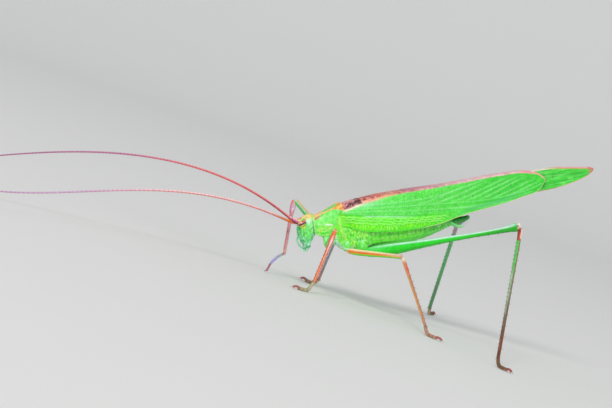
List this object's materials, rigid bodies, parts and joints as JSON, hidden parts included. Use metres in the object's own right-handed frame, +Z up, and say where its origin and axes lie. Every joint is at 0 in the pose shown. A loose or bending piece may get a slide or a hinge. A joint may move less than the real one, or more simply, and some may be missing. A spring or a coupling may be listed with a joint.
{
  "type": "long horned grasshopper",
  "caption": "Life-size still model of a slender green long horned grasshopper (bush katydid), standing with long feelers stretched forward.",
  "frame": {"origin": "bottom centre of the whole model's box, on the floor it stands on", "axes": "+X towards the tail end (the head faces -X), +Y towards the insect's right side, +Z up"},
  "size_m": [0.0918, 0.0666, 0.029],
  "materials": {
    "body": "satin cuticle, light green, orange ridge lines",
    "eye": "glossy reddish pink with a dark centre",
    "mouthpart": "pale bluish green",
    "forewing": "satin green with fine raised veins, pink-brown top strip",
    "hindwing": "satin deeper green with a reddish tip",
    "cercus": "green with a pale pinkish tip",
    "feeler": "pinkish red, paler sheen",
    "fore_leg": "green thighs, pink shins",
    "foot": "pinkish brown, dark claws",
    "mid_leg": "satin orange, pinkish tan shins",
    "hind_leg": "satin green, shins green to brown, knees red-brown"
  },
  "bodies": {
    "root": {"pronotum": "body", "head": "body", "eye_left": "eye", "eye_right": "eye", "mouthparts": "mouthpart", "thorax": "body", "abdomen_front": "body", "abdomen_middle": "body", "abdomen_rear": "body", "tegmen_left": "forewing", "hind_wing_left": "hindwing", "tegmen_right": "forewing", "hind_wing_right": "hindwing", "subgenital_plate": "body", "cercus_left": "cercus", "cercus_right": "cercus", "palp_maxillary_left": "mouthpart", "palp_maxillary_right": "mouthpart", "palp_labial_left": "mouthpart", "palp_labial_right": "mouthpart", "antenna_left_scape": "feeler", "antenna_left_1": "feeler", "antenna_left_2": "feeler", "antenna_left_3": "feeler", "antenna_right_scape": "feeler", "antenna_right_1": "feeler", "antenna_right_2": "feeler", "antenna_right_3": "feeler", "coxa_fore_left": "body", "femur_fore_left": "fore_leg", "tibia_fore_left": "fore_leg", "tarsus_fore_left": "foot", "coxa_fore_right": "body", "femur_fore_right": "fore_leg", "tibia_fore_right": "fore_leg", "tarsus_fore_right": "foot", "coxa_mid_left": "body", "femur_mid_left": "mid_leg", "tibia_mid_left": "mid_leg", "tarsus_mid_left": "foot", "coxa_mid_right": "body", "femur_mid_right": "mid_leg", "tibia_mid_right": "mid_leg", "tarsus_mid_right": "foot", "coxa_hind_left": "body", "femur_hind_left": "hind_leg", "tibia_hind_left": "hind_leg", "tarsus_hind_left": "foot", "coxa_hind_right": "body", "femur_hind_right": "hind_leg", "tibia_hind_right": "hind_leg", "tarsus_hind_right": "foot"}
  },
  "joints": []
}
